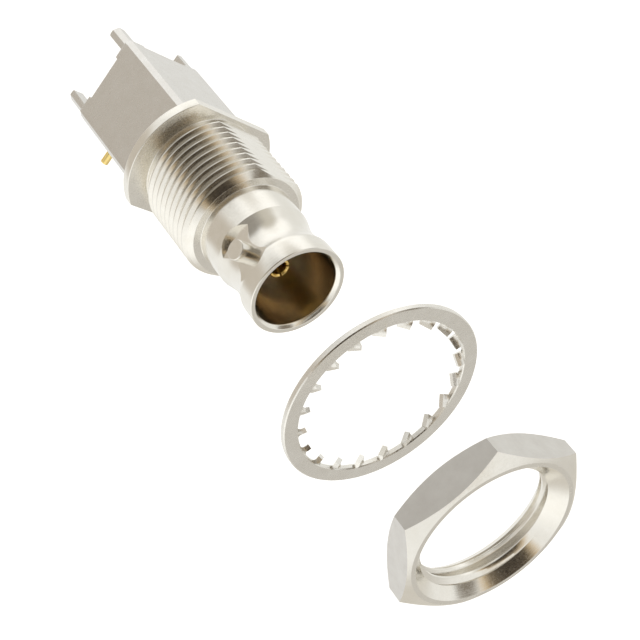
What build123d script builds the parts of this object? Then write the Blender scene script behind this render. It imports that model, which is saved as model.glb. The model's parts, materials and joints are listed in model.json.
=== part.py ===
from build123d import *
import math
import os

# A bulkhead coaxial jack for a circuit board, with its lock washer and panel nut
# drawn forward along the mating axis. Millimetres. The origin is on the mating axis,
# at the front face of the flange that seats on the panel. +Y points to the rear
# legs, the mating mouth opens towards -Y, +Z is up and the solder tail points down.

# Fits
FIT_GAP = 0.02          # radial gap of pieces that are pressed together
THREAD_GAP = 0.05       # radial gap between the panel thread and what runs over it

# Barrel, outside, with distances from the mouth
MOUTH_TO_SEAT = 20.0
BARREL_DIAMETER = 9.7
RIM_BREAK = 0.1
MOUTH_BAND_LENGTH = 2.2
NECK_DEPTH = 0.45
NECK_START = 3.5
NECK_END = 4.8
SHOULDER_FROM_MOUTH = 6.6

# Barrel, inside
BARREL_WALL = 0.775
RIM_WIDTH = 0.425
LEAD_IN_DEPTH = 0.35
REFERENCE_DEPTH = 8.4
LIP_DIAMETER = 6.2
LIP_LENGTH = 2.6
INSULATOR_DIAMETER = 6.6

# Bayonet studs and the round reliefs milled about them
STUD_DIAMETER = 1.96
STUD_HEIGHT = 0.65
STUD_FROM_MOUTH = 4.2
STUD_BREAK = 0.12
RELIEF_DIAMETER = 5.4
RELIEF_DEPTH = 0.6

# Panel thread and flange
THREAD_DIAMETER = 12.7
THREAD_LENGTH = 9.95
THREAD_CHAMFER = 0.7
THREAD_FLAT_DEPTH = 0.63
FLANGE_DIAMETER = 15.6
FLANGE_THICKNESS = 1.1
FLANGE_ACROSS_FLATS = 12.2
FLANGE_BREAK = 0.1
SPIGOT_DIAMETER = 7.9
SPIGOT_LENGTH = 3.0

# Square housing, its standoff pads and rear legs
HOUSING_WIDTH = 10.1
HOUSING_HEIGHT = 9.6
HOUSING_LENGTH = 13.4
HOUSING_EDGE = 0.4
LEG_LENGTH = 2.9
LEG_WIDTH = 1.2
LEG_HEIGHT = 1.15
LEG_INSET = 0.2
LEG_BEVEL = 0.4
PAD_MARGIN = 0.95
PAD_HEIGHT = 0.4

# Rear cap
CAP_THICKNESS = 0.4
CAP_LEDGE = 0.15
CAP_DIMPLE_DIAMETER = 1.6
CAP_DIMPLE_DEPTH = 0.15

# Centre contact
CONTACT_FROM_MOUTH = 3.4
CONTACT_DIAMETER = 2.1
CONTACT_BORE_DIAMETER = 1.35
CONTACT_BORE_DEPTH = 5.2
CONTACT_LEAD_IN = 0.15
CONTACT_SLOTS = 4
CONTACT_SLOT_WIDTH = 0.2
CONTACT_SLOT_LENGTH = 4.4
CONTACT_STEM_DIAMETER = 1.9
CONTACT_END_MARGIN = 0.25

# Solder tail and its bush
TAIL_DIAMETER = 0.85
TAIL_SHANK_DIAMETER = 1.3
TAIL_LENGTH_BELOW = 3.3
TAIL_TO_CAP = 0.35
TAIL_TOP = 0.3
TAIL_TIP_CHAMFER = 0.12
TAIL_TIP_LENGTH = 0.2
BUSH_DIAMETER = 2.3
BUSH_LENGTH = 1.1
SOLDER_SPACE = 0.9

# Lock washer with twisted inner teeth
WASHER_DIAMETER = 19.2
WASHER_RING_WIDTH = 1.4
WASHER_TO_THREAD = 0.35
WASHER_THICKNESS = 0.6
WASHER_BEVEL = 0.15
TOOTH_COUNT = 20
TOOTH_WIDTH = 1.1
TOOTH_ROOT = 0.3
TOOTH_TWIST = 32.0
WASHER_REST = 34.65

# Hexagon nut
NUT_ACROSS_FLATS = 15.8
NUT_THICKNESS = 3.3
NUT_FACE_MARGIN = 0.3
NUT_CHAMFER_ANGLE = 30.0
NUT_FRONT_COUNTERSINK = 0.8
NUT_REAR_COUNTERSINK = 0.35
NUT_TURN = 10.8
NUT_REST = 50.2

# Worked-out radii of the barrel
BARREL_RADIUS = BARREL_DIAMETER / 2
BORE_RADIUS = BARREL_RADIUS - BARREL_WALL
RELIEF_FLOOR = BARREL_RADIUS - RELIEF_DEPTH
STUD_TIP = BARREL_RADIUS + STUD_HEIGHT

# Worked-out places along the mating axis
MOUTH_Y = -MOUTH_TO_SEAT
STUD_Y = MOUTH_Y + STUD_FROM_MOUTH
LIP_Y = MOUTH_Y + REFERENCE_DEPTH
INSULATOR_Y = LIP_Y + LIP_LENGTH
HOUSING_Y = FLANGE_THICKNESS
SPIGOT_END_Y = HOUSING_Y + SPIGOT_LENGTH
PAD_Y = HOUSING_Y + HOUSING_LENGTH
REAR_FACE_Y = PAD_Y - PAD_HEIGHT
CAP_Y = REAR_FACE_Y - CAP_THICKNESS
TAIL_Y = CAP_Y - TAIL_TO_CAP - TAIL_SHANK_DIAMETER / 2
STEM_END_Y = TAIL_Y + TAIL_SHANK_DIAMETER / 2 + CONTACT_END_MARGIN
SOLDER_SPACE_Y = TAIL_Y - SOLDER_SPACE
CAP_DIAMETER = INSULATOR_DIAMETER + 2 * CAP_LEDGE


def turned(corners):
    """A solid of revolution about the mating axis from (radius, y) corners."""
    with BuildPart() as part:
        with BuildSketch(Plane.XY):
            with BuildLine():
                Polyline(*corners, close=True)
            make_face()
        revolve(axis=Axis.Y)
    return part.part


def along_y(radius, y_start, y_end, x=0.0, z=0.0):
    """A cylinder parallel to the mating axis between two places on it."""
    length = y_end - y_start
    return Pos(x, y_start + length / 2, z) * Rot(-90, 0, 0) * Cylinder(radius, length)


def along_z(radius, z_start, z_end, y=0.0):
    """An upright cylinder between two heights."""
    length = z_end - z_start
    return Pos(0, y, z_start + length / 2) * Cylinder(radius, length)


def across_x(radius, x_start, x_end, y=0.0):
    """A cylinder across the mating axis, parallel to X."""
    length = x_end - x_start
    return Pos(x_start + length / 2, y, 0) * Rot(0, 90, 0) * Cylinder(radius, length)


def shell_blank():
    """The turned shell: barrel, thread, flange and rear spigot, with its stepped bore."""
    barrel = BARREL_RADIUS
    neck = barrel - NECK_DEPTH
    thread = THREAD_DIAMETER / 2
    flange = FLANGE_DIAMETER / 2
    spigot = SPIGOT_DIAMETER / 2
    insulator = INSULATOR_DIAMETER / 2 + FIT_GAP
    thread_y = -THREAD_LENGTH
    outside = [
        (barrel - RIM_WIDTH, MOUTH_Y),
        (barrel - RIM_BREAK, MOUTH_Y),
        (barrel, MOUTH_Y + RIM_BREAK),
        (barrel, MOUTH_Y + MOUTH_BAND_LENGTH),
        (neck, MOUTH_Y + NECK_START),
        (neck, MOUTH_Y + NECK_END),
        (barrel, MOUTH_Y + SHOULDER_FROM_MOUTH),
        (barrel, thread_y),
        (thread - THREAD_CHAMFER, thread_y),
        (thread, thread_y + THREAD_CHAMFER),
        (thread, 0),
        (flange - FLANGE_BREAK, 0),
        (flange, FLANGE_BREAK),
        (flange, FLANGE_THICKNESS),
        (spigot, FLANGE_THICKNESS),
        (spigot, SPIGOT_END_Y),
    ]
    inside = [
        (insulator, SPIGOT_END_Y),
        (insulator, INSULATOR_Y),
        (LIP_DIAMETER / 2, INSULATOR_Y),
        (LIP_DIAMETER / 2, LIP_Y),
        (BORE_RADIUS, LIP_Y),
        (BORE_RADIUS, MOUTH_Y + LEAD_IN_DEPTH),
    ]
    return turned(outside + inside)


def stud(side):
    """One bayonet stud standing on its milled flat; side is -1 or +1."""
    shank = across_x(STUD_DIAMETER / 2, RELIEF_FLOOR, STUD_TIP, STUD_Y)
    shank = chamfer(shank.faces().sort_by(Axis.X)[-1].edges(), STUD_BREAK)
    return shank if side > 0 else mirror(shank, Plane.YZ)


def stud_relief(side):
    """The ring that the hollow mill takes away about a stud."""
    x_low, x_high = (RELIEF_FLOOR, STUD_TIP) if side > 0 else (-STUD_TIP, -RELIEF_FLOOR)
    return across_x(RELIEF_DIAMETER / 2, x_low, x_high, STUD_Y)


def front_shell():
    """Turned and milled shell with studs, thread flat and flange flats."""
    shell = shell_blank()
    for side in (-1, 1):
        shell = shell - stud_relief(side) + stud(side)
    over = FLANGE_DIAMETER
    flat_cut = Box(over, THREAD_LENGTH, over, align=(Align.CENTER, Align.MAX, Align.MIN))
    shell -= Pos(0, 0, THREAD_DIAMETER / 2 - THREAD_FLAT_DEPTH) * flat_cut
    flange_cut = Box(over, FLANGE_THICKNESS, over, align=(Align.CENTER, Align.MIN, Align.MIN))
    shell -= Pos(0, 0, FLANGE_ACROSS_FLATS / 2) * flange_cut
    shell -= mirror(Pos(0, 0, FLANGE_ACROSS_FLATS / 2) * flange_cut, Plane.XY)
    return shell


def corner_block(width, height, inset_x, inset_z, y_start, y_end):
    """A block in the corner of the housing at +X and +Z, with its outer edge rounded."""
    block = Box(width, y_end - y_start, height, align=(Align.MAX, Align.MIN, Align.MAX))
    block = fillet(block.edges().filter_by(Axis.Y).sort_by(Axis.X)[-2:].sort_by(Axis.Z)[-1:], HOUSING_EDGE)
    return Pos(HOUSING_WIDTH / 2 - inset_x, y_start, HOUSING_HEIGHT / 2 - inset_z) * block


def leg():
    """The solder leg at the +X, +Z corner, with its tip bevelled on the inner sides."""
    block = corner_block(LEG_WIDTH, LEG_HEIGHT, 0, LEG_INSET, PAD_Y, PAD_Y + LEG_LENGTH)
    tip = block.faces().sort_by(Axis.Y)[-1]
    inner = [tip.edges().filter_by(Axis.Z).sort_by(Axis.X)[0], tip.edges().filter_by(Axis.X).sort_by(Axis.Z)[0]]
    return chamfer(inner, LEG_BEVEL)


def at_four_corners(block):
    """The same block at each corner of the housing."""
    right = [block, mirror(block, Plane.XY)]
    return right + [mirror(item, Plane.YZ) for item in right]


def square_housing():
    """Cast square housing with four standoff pads and legs, bored through for the insides."""
    body = Box(HOUSING_WIDTH, HOUSING_LENGTH - PAD_HEIGHT, HOUSING_HEIGHT,
               align=(Align.CENTER, Align.MIN, Align.CENTER))
    body = Pos(0, HOUSING_Y, 0) * fillet(body.edges().filter_by(Axis.Y), HOUSING_EDGE)
    pad = corner_block(LEG_WIDTH + PAD_MARGIN, LEG_HEIGHT + LEG_INSET + PAD_MARGIN, 0, 0, REAR_FACE_Y, PAD_Y)
    for piece in at_four_corners(pad) + at_four_corners(leg()):
        body += piece
    body -= along_y(SPIGOT_DIAMETER / 2 + FIT_GAP, HOUSING_Y, SPIGOT_END_Y)
    body -= along_y(INSULATOR_DIAMETER / 2 + FIT_GAP, SPIGOT_END_Y, REAR_FACE_Y)
    body -= along_y(CAP_DIAMETER / 2 + FIT_GAP, CAP_Y, REAR_FACE_Y)
    body -= along_z(BUSH_DIAMETER / 2 + FIT_GAP, -HOUSING_HEIGHT / 2, 0, TAIL_Y)
    return body


def insulator(y_start, y_end):
    """A turned insulator round the contact stem."""
    outer = INSULATOR_DIAMETER / 2
    hole = CONTACT_STEM_DIAMETER / 2 + FIT_GAP
    return turned([(hole, y_start), (outer, y_start), (outer, y_end), (hole, y_end)])


def centre_contact():
    """Turned contact: slotted socket in front, stem behind, cross-drilled for the tail."""
    tip_y = MOUTH_Y + CONTACT_FROM_MOUTH
    outer = CONTACT_DIAMETER / 2
    hole = CONTACT_BORE_DIAMETER / 2
    stem = CONTACT_STEM_DIAMETER / 2
    bore_end = tip_y + CONTACT_BORE_DEPTH
    contact = turned([
        (hole + CONTACT_LEAD_IN, tip_y),
        (outer - CONTACT_LEAD_IN / 2, tip_y),
        (outer, tip_y + CONTACT_LEAD_IN),
        (outer, INSULATOR_Y),
        (stem, INSULATOR_Y),
        (stem, STEM_END_Y),
        (0, STEM_END_Y),
        (0, bore_end),
        (hole, bore_end),
        (hole, tip_y + CONTACT_LEAD_IN),
    ])
    slot = Box(CONTACT_SLOT_WIDTH, CONTACT_SLOT_LENGTH, CONTACT_DIAMETER,
               align=(Align.CENTER, Align.MIN, Align.MIN))
    for index in range(CONTACT_SLOTS):
        contact -= Rot(0, 45 + 360 * index / CONTACT_SLOTS, 0) * Pos(0, tip_y, 0) * slot
    return contact - along_z(TAIL_SHANK_DIAMETER / 2 + FIT_GAP, -CONTACT_DIAMETER, CONTACT_DIAMETER, TAIL_Y)


def solder_tail():
    """Round tail: a shank through bush and stem, and a free end with a chamfered tip."""
    top = CONTACT_STEM_DIAMETER / 2 + TAIL_TOP
    step = -HOUSING_HEIGHT / 2
    free_end = along_z(TAIL_DIAMETER / 2, step - TAIL_LENGTH_BELOW, step, TAIL_Y)
    free_end = chamfer(free_end.edges().group_by(Axis.Z)[0], TAIL_TIP_LENGTH, TAIL_TIP_CHAMFER)
    return free_end + along_z(TAIL_SHANK_DIAMETER / 2, step, top, TAIL_Y)


def tail_bush():
    """Insulating bush round the tail in the bottom wall."""
    low = -HOUSING_HEIGHT / 2
    bush = along_z(BUSH_DIAMETER / 2, low, low + BUSH_LENGTH, TAIL_Y)
    return bush - along_z(TAIL_SHANK_DIAMETER / 2 + FIT_GAP, low, low + BUSH_LENGTH, TAIL_Y)


def rear_cap():
    """Pressed cap that closes the rear bore, with a shallow centre dimple."""
    cap = along_y(CAP_DIAMETER / 2, CAP_Y, REAR_FACE_Y)
    return cap - along_y(CAP_DIMPLE_DIAMETER / 2, REAR_FACE_Y - CAP_DIMPLE_DEPTH, REAR_FACE_Y)


def washer_tooth():
    """One twisted tooth, pointing at the axis from the ring along +X."""
    start = THREAD_DIAMETER / 2 + WASHER_TO_THREAD
    end = WASHER_DIAMETER / 2 - WASHER_RING_WIDTH + TOOTH_ROOT
    tooth = Box(end - start, WASHER_THICKNESS, TOOTH_WIDTH, align=(Align.MIN, Align.CENTER, Align.CENTER))
    return Pos(start, 0, 0) * Rot(TOOTH_TWIST, 0, 0) * tooth


def lock_washer():
    """Stamped ring with bevelled outer edges and twisted teeth inside."""
    half = WASHER_THICKNESS / 2
    outer = WASHER_DIAMETER / 2
    inner = outer - WASHER_RING_WIDTH
    ring = turned([
        (inner, -half),
        (outer - WASHER_BEVEL, -half),
        (outer, -half + WASHER_BEVEL),
        (outer, half - WASHER_BEVEL),
        (outer - WASHER_BEVEL, half),
        (inner, half),
    ])
    for index in range(TOOTH_COUNT):
        ring += Rot(0, 360 * index / TOOTH_COUNT, 0) * washer_tooth()
    return Pos(0, -WASHER_REST, 0) * ring


def nut_envelope():
    """The turned shape that chamfers both sides of the hexagon."""
    half = NUT_THICKNESS / 2
    face = NUT_ACROSS_FLATS / 2 - NUT_FACE_MARGIN
    corner = NUT_ACROSS_FLATS / math.sqrt(3)
    drop = (corner - face) * math.tan(math.radians(NUT_CHAMFER_ANGLE))
    return turned([(0, -half), (face, -half), (corner, drop - half), (corner, half - drop), (face, half), (0, half)])


def nut_bore():
    """The thread's bore with a wide countersink in front and a narrow one behind."""
    half = NUT_THICKNESS / 2
    hole = THREAD_DIAMETER / 2 + THREAD_GAP
    return turned([
        (0, -half),
        (hole + NUT_FRONT_COUNTERSINK, -half),
        (hole, NUT_FRONT_COUNTERSINK - half),
        (hole, half - NUT_REAR_COUNTERSINK),
        (hole + NUT_REAR_COUNTERSINK, half),
        (0, half),
    ])


def hex_nut():
    """Thin hexagon panel nut, chamfered on both sides."""
    hexagon = extrude(RegularPolygon(NUT_ACROSS_FLATS / 2, 6, major_radius=False), NUT_THICKNESS / 2, both=True)
    nut = (Rot(0, -NUT_TURN, 0) * Rot(-90, 0, 0) * hexagon) & nut_envelope()
    return Pos(0, -NUT_REST, 0) * (nut - nut_bore())


NODES = {
    "front_shell": front_shell,
    "square_housing": square_housing,
    "front_insulator": lambda: insulator(INSULATOR_Y, SPIGOT_END_Y),
    "rear_insulator": lambda: insulator(SPIGOT_END_Y, SOLDER_SPACE_Y),
    "centre_contact": centre_contact,
    "solder_tail": solder_tail,
    "tail_bush": tail_bush,
    "rear_cap": rear_cap,
    "lock_washer": lock_washer,
    "hex_nut": hex_nut,
}

os.makedirs("parts", exist_ok=True)
for name, make in NODES.items():
    export_step(make(), f"parts/{name}.step")
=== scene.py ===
# %% [markdown]
# A bayonet coaxial jack for a circuit board, laid out along its mating axis with its lock washer and its
# panel nut taken off. The solid model gives the places and the outer sizes. This lesson dresses it: a real
# thread, twisted washer teeth, cast and turned metal, and a studio for bright metal to reflect.
#
# The first cell loads the solid model as a fixed frame and keeps its box, for the last cell to compare with.

# %% Load the frame
import json
import math

import bmesh
import bpy
from mathutils import Matrix, Vector


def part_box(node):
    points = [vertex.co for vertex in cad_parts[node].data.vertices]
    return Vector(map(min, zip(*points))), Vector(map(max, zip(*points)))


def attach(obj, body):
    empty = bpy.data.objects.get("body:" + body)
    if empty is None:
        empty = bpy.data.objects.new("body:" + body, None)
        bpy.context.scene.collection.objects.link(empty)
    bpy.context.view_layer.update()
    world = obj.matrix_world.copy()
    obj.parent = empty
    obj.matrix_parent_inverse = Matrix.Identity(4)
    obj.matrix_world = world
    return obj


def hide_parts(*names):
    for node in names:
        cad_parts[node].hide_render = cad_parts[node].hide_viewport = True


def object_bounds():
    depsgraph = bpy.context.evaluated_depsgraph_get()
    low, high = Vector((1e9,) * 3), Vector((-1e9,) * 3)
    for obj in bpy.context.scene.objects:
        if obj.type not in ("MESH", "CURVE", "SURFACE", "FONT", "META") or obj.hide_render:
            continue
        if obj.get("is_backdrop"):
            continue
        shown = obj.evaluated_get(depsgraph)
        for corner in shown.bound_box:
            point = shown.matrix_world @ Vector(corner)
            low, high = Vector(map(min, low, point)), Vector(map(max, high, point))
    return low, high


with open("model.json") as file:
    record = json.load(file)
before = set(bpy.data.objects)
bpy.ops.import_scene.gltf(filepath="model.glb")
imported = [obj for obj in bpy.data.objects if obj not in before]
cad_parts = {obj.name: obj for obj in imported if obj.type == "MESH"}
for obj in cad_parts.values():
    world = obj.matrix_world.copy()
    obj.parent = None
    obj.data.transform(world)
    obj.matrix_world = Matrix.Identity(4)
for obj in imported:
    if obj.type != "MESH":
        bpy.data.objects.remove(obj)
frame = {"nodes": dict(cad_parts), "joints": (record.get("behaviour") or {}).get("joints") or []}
CAD_BOX = [list(corner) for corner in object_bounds()]
MM = 0.001
print("the frame holds", sorted(frame["nodes"]))

# %% [markdown]
# Sizes come from the frame wherever a node's box gives them. A box tells where a piece begins and ends along
# the mating axis and how wide it is. The sizes inside an outline, such as a neck or a thread's depth, are
# written where they are first needed, in millimetres, as on the drawing of the part.


# %% Sizes read from the frame
def extent(node, axis):
    """The lowest and highest coordinate of a node along an axis, in millimetres."""
    low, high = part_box(node)
    return low[axis] / MM, high[axis] / MM


X, Y, Z = 0, 1, 2
MOUTH_Y, SPIGOT_END_Y = extent("front_shell", Y)
FLANGE_FLAT = extent("front_shell", Z)[1]
FLANGE_RADIUS = extent("front_shell", X)[1]
HOUSING_HALF_WIDTH = extent("square_housing", X)[1]
HOUSING_HALF_HEIGHT = extent("square_housing", Z)[1]
FLANGE_BACK_Y, LEG_END_Y = extent("square_housing", Y)
CONTACT_TIP_Y, CONTACT_END_Y = extent("centre_contact", Y)
CONTACT_RADIUS = extent("centre_contact", X)[1]
WASHER_RADIUS = extent("lock_washer", X)[1]
WASHER_Y = sum(extent("lock_washer", Y)) / 2
NUT_FRONT_Y, NUT_BACK_Y = extent("hex_nut", Y)
NUT_TRAVEL = sum(joint["range_m"][1] / MM for joint in frame["joints"])
print("mouth at", round(MOUTH_Y, 2), "washer at", round(WASHER_Y, 2), "nut front at", round(NUT_FRONT_Y, 2))

# %% [markdown]
# The front shell is one turned and milled piece, and modelling it follows the workshop: a blank is turned,
# then threaded, then milled. The blank is drawn as half a section: pairs of radius and place along the axis,
# in order round the metal. They run over the mouth, the neck, the barrel, the thread's blank with a relief
# behind it and the flange, and come back through the stepped bore. The neck is an arc between two short
# cones, as a form tool leaves it. A third value is the radius that rounds the corner off.

# %% Outline of the front shell
BARREL_RADIUS = 4.85
RIM_WIDTH = 0.425
LEAD_IN_DEPTH = 0.35
BORE_RADIUS = 4.075
NECK_RADIUS = 4.4
NECK_FRONT_Y = MOUTH_Y + 2.1
NECK_FLOOR_FRONT_Y = MOUTH_Y + 3.3
NECK_FLOOR_BACK_Y = MOUTH_Y + 4.9
NECK_BACK_Y = MOUTH_Y + 6.6
THREAD_FRONT_Y = -9.95
THREAD_RADIUS = 6.35
THREAD_CHAMFER = 0.7
RELIEF_LENGTH = 1.02
RELIEF_RUNOUT = 0.3
RELIEF_RADIUS = 5.75
REFERENCE_Y = MOUTH_Y + 8.4
LIP_RADIUS = 3.1
INSULATOR_Y = REFERENCE_Y + 2.6
INSULATOR_RADIUS = 3.32
SPIGOT_RADIUS = 3.95

shell_outline = [
    (BARREL_RADIUS - RIM_WIDTH, MOUTH_Y, 0.2),
    (BARREL_RADIUS, MOUTH_Y, 0.1),
    (BARREL_RADIUS, NECK_FRONT_Y, 1.5),
    (NECK_RADIUS, NECK_FLOOR_FRONT_Y, 4.4),
    (NECK_RADIUS, NECK_FLOOR_BACK_Y, 4.4),
    (BARREL_RADIUS, NECK_BACK_Y, 0.05),
    (BARREL_RADIUS, THREAD_FRONT_Y, 0.08),
    (THREAD_RADIUS - THREAD_CHAMFER, THREAD_FRONT_Y, 0.06),
    (THREAD_RADIUS, THREAD_FRONT_Y + THREAD_CHAMFER),
    (THREAD_RADIUS, -RELIEF_LENGTH),
    (RELIEF_RADIUS, RELIEF_RUNOUT - RELIEF_LENGTH),
    (RELIEF_RADIUS, 0.0, 0.1),
    (FLANGE_RADIUS, 0.0, 0.08),
    (FLANGE_RADIUS, FLANGE_BACK_Y, 0.08),
    (SPIGOT_RADIUS, FLANGE_BACK_Y),
    (SPIGOT_RADIUS, SPIGOT_END_Y),
    (INSULATOR_RADIUS, SPIGOT_END_Y),
    (INSULATOR_RADIUS, INSULATOR_Y),
    (LIP_RADIUS, INSULATOR_Y),
    (LIP_RADIUS, REFERENCE_Y),
    (BORE_RADIUS, REFERENCE_Y),
    (BORE_RADIUS, MOUTH_Y + LEAD_IN_DEPTH, 0.3),
]
print("the outline has", len(shell_outline), "corners")

# %% [markdown]
# No real edge is perfectly sharp, and bright metal shows that at once: a rounded edge carries a thin line of
# light. So each corner with a radius becomes a small arc. The arc touches both of the corner's sides, which
# puts its centre on the line that halves the angle between them.

# %% Round the corners of an outline
ARC_STEPS = 5


def rounded(outline, steps=ARC_STEPS):
    """The outline with an arc in place of each corner that has a radius as its third value."""
    points = []
    for index, corner in enumerate(outline):
        if len(corner) == 2:
            points.append(corner)
            continue
        here, radius = Vector(corner[:2]), corner[2]
        before = (Vector(outline[index - 1][:2]) - here).normalized()
        after = (Vector(outline[(index + 1) % len(outline)][:2]) - here).normalized()
        half = before.angle(after) / 2
        reach = radius / math.tan(half)
        centre = here + (before + after).normalized() * radius / math.sin(half)
        start = (here + before * reach - centre).normalized()
        end = (here + after * reach - centre).normalized()
        for step in range(steps + 1):
            points.append(tuple(centre + radius * start.slerp(end, step / steps)))
    return points


shell_profile = rounded(shell_outline)
print("rounded, it has", len(shell_profile))

# %% [markdown]
# Spinning the profile about the axis gives the blank. The profile closes on itself, so the mesh is a closed
# body with an inside and an outside. Each new mesh is tidied: doubled points are merged, and every face is
# turned outwards, because the cuts that follow only work on a sound solid.

# %% Spin a profile
AROUND = 256
MERGE_NEW = 0.00002 * MM


def tidy_mesh(piece, merge=MERGE_NEW):
    """Merges doubles, removes loose edges and turns every face outwards."""
    work = bmesh.new()
    work.from_mesh(piece.data)
    bmesh.ops.remove_doubles(work, verts=work.verts, dist=merge)
    bmesh.ops.dissolve_degenerate(work, edges=work.edges, dist=merge)
    bmesh.ops.delete(work, geom=[edge for edge in work.edges if edge.is_wire], context="EDGES")
    bmesh.ops.recalc_face_normals(work, faces=work.faces)
    work.to_mesh(piece.data)
    work.free()


def mesh_object(name, vertices, faces):
    """A new object from vertices in millimetres, with its doubles merged and its faces pointing outwards."""
    mesh = bpy.data.meshes.new(name)
    mesh.from_pydata([[value * MM for value in vertex] for vertex in vertices], [], faces)
    piece = bpy.data.objects.new(name, mesh)
    bpy.context.scene.collection.objects.link(piece)
    tidy_mesh(piece)
    return piece


def spun(name, profile, around=AROUND):
    """A solid of revolution about Y from a closed profile of (radius, y) points."""
    vertices = []
    faces = []
    for radius, y in profile:
        for step in range(around):
            angle = 2 * math.pi * step / around
            vertices.append((radius * math.cos(angle), y, radius * math.sin(angle)))
    for row, (radius, _) in enumerate(profile):
        following = (row + 1) % len(profile)
        if radius == profile[following][0] == 0:
            continue
        for step in range(around):
            beside = (step + 1) % around
            faces.append((row * around + step, row * around + beside,
                          following * around + beside, following * around + step))
    return mesh_object(name, vertices, faces)


shell = spun("front_shell_turned", shell_profile)
print("the blank has", len(shell.data.polygons), "faces")

# %% [markdown]
# The thread is a rule, so geometry nodes make it. A geometry tree starts as an empty group with named inputs,
# so that one tree can make several walls of different sizes. These small helpers keep the wiring short: one
# makes any node and sets or links its inputs, one makes a sum, and two more begin and end a tree.


# %% A geometry tree and its inputs
def node(tree, kind, inputs=None, **settings):
    """A node with its settings made and its inputs set or linked."""
    made = tree.nodes.new(kind)
    for key, value in settings.items():
        setattr(made, key, value)
    for key, value in (inputs or {}).items():
        if isinstance(value, bpy.types.NodeSocket):
            tree.links.new(value, made.inputs[key])
        else:
            made.inputs[key].default_value = value
    return made


def maths(tree, operation, first, second=0.0):
    """One Math node; returns its output."""
    return node(tree, "ShaderNodeMath", {0: first, 1: second}, operation=operation).outputs[0]


def tree_inputs(tree, floats, wholes):
    """Named inputs for a geometry tree, with a material input and one geometry output."""
    for name in floats:
        tree.interface.new_socket(name, in_out="INPUT", socket_type="NodeSocketFloat")
    for name in wholes:
        tree.interface.new_socket(name, in_out="INPUT", socket_type="NodeSocketInt")
    tree.interface.new_socket("Material", in_out="INPUT", socket_type="NodeSocketMaterial")
    tree.interface.new_socket("Mesh", in_out="OUTPUT", socket_type="NodeSocketGeometry")
    return tree.nodes.new("NodeGroupInput").outputs


def tree_output(tree, geometry, material):
    """Ends a geometry tree with real meshes and their material."""
    real = node(tree, "GeometryNodeRealizeInstances", {0: geometry})
    dressed = node(tree, "GeometryNodeSetMaterial", {"Geometry": real.outputs[0], "Material": material})
    tree.links.new(dressed.outputs[0], tree.nodes.new("NodeGroupOutput").inputs[0])


HELICAL_WALL = bpy.data.node_groups.new("helical wall", "GeometryNodeTree")
wall_inputs = tree_inputs(HELICAL_WALL, ("Crest radius", "Depth", "Pitch", "Start", "Turns"),
                          ("Rows", "Around"))
print("the wall's tree has the inputs", [socket.name for socket in wall_inputs if socket.name])

# %% [markdown]
# A flat grid is wrapped round the axis: one side of the grid runs once around, the other along the rows of
# the thread, and a row falls back one pitch per turn, which makes the thread right-handed. The row's place in
# the pitch gives the radius: root, flank, crest, flank. With no depth the same tree makes a plain wall.

# %% Wrap a grid into a thread
PITCH = 25.4 / 28
THREAD_DEPTH = 0.53
CREST_SHARE = 1 / 9
ROOT_SHARE = 1 / 8
ROW_SHIFT = CREST_SHARE / 2


def wire_helical_wall(tree, given):
    """Fills the tree: a grid, its rows' height in the pitch, and the wrap round the axis."""
    grid = node(tree, "GeometryNodeMeshGrid", {"Size X": 1.0, "Size Y": 1.0, "Vertices X": given["Rows"],
                                               "Vertices Y": given["Around"]})
    place = node(tree, "ShaderNodeSeparateXYZ", {0: node(tree, "GeometryNodeInputPosition").outputs[0]})
    along = maths(tree, "MULTIPLY", maths(tree, "ADD", place.outputs["X"], 0.5), given["Turns"])
    turn = maths(tree, "ADD", place.outputs["Y"], 0.5)
    in_pitch = maths(tree, "FRACT", maths(tree, "ADD", along, ROW_SHIFT))
    from_crest = maths(tree, "ABSOLUTE", maths(tree, "SUBTRACT", in_pitch, 0.5))
    height = node(tree, "ShaderNodeMapRange", {
        "Value": from_crest, "From Min": (1 - ROOT_SHARE) / 2, "From Max": CREST_SHARE / 2,
        "To Min": 0.0, "To Max": given["Depth"]}).outputs[0]
    radius = maths(tree, "ADD", maths(tree, "SUBTRACT", given["Crest radius"], given["Depth"]), height)
    angle = maths(tree, "MULTIPLY", turn, 2 * math.pi)
    climb = maths(tree, "MULTIPLY", maths(tree, "SUBTRACT", along, turn), given["Pitch"])
    wrapped = node(tree, "ShaderNodeCombineXYZ", {
        0: maths(tree, "MULTIPLY", radius, maths(tree, "COSINE", angle)),
        1: maths(tree, "ADD", given["Start"], climb),
        2: maths(tree, "MULTIPLY", radius, maths(tree, "SINE", angle))}).outputs[0]
    moved = node(tree, "GeometryNodeSetPosition", {"Geometry": grid.outputs["Mesh"], "Position": wrapped})
    tree_output(tree, moved.outputs[0], given["Material"])


wire_helical_wall(HELICAL_WALL, wall_inputs)
print("the wall's tree has", len(HELICAL_WALL.nodes), "nodes")

# %% [markdown]
# The cutting tool is a tube whose inner wall is the thread and whose outer wall is plain, both from the tree.
# A ring of faces joins them at each end, and a short strip closes the step that one turn leaves there. Its
# volume is printed, and any open edge would be too: an open tool can't cut.

# %% Thread tool
ROWS = 8
TOOL_OVERRUN = 1.0
FIRST_CREST_Y = -8.6
FIRST_CREST_TURN = 130 / 360
THREAD_START_Y = FIRST_CREST_Y + (FIRST_CREST_TURN - 0.5 + ROW_SHIFT) * PITCH
TURNS_AHEAD = 3
TURNS_BEHIND = 9.5


def apply_modifier(piece, step):
    """Makes what the modifier shows the piece's own mesh."""
    result = bpy.data.meshes.new_from_object(piece.evaluated_get(bpy.context.evaluated_depsgraph_get()))
    piece.modifiers.remove(step)
    piece.data = result


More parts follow.
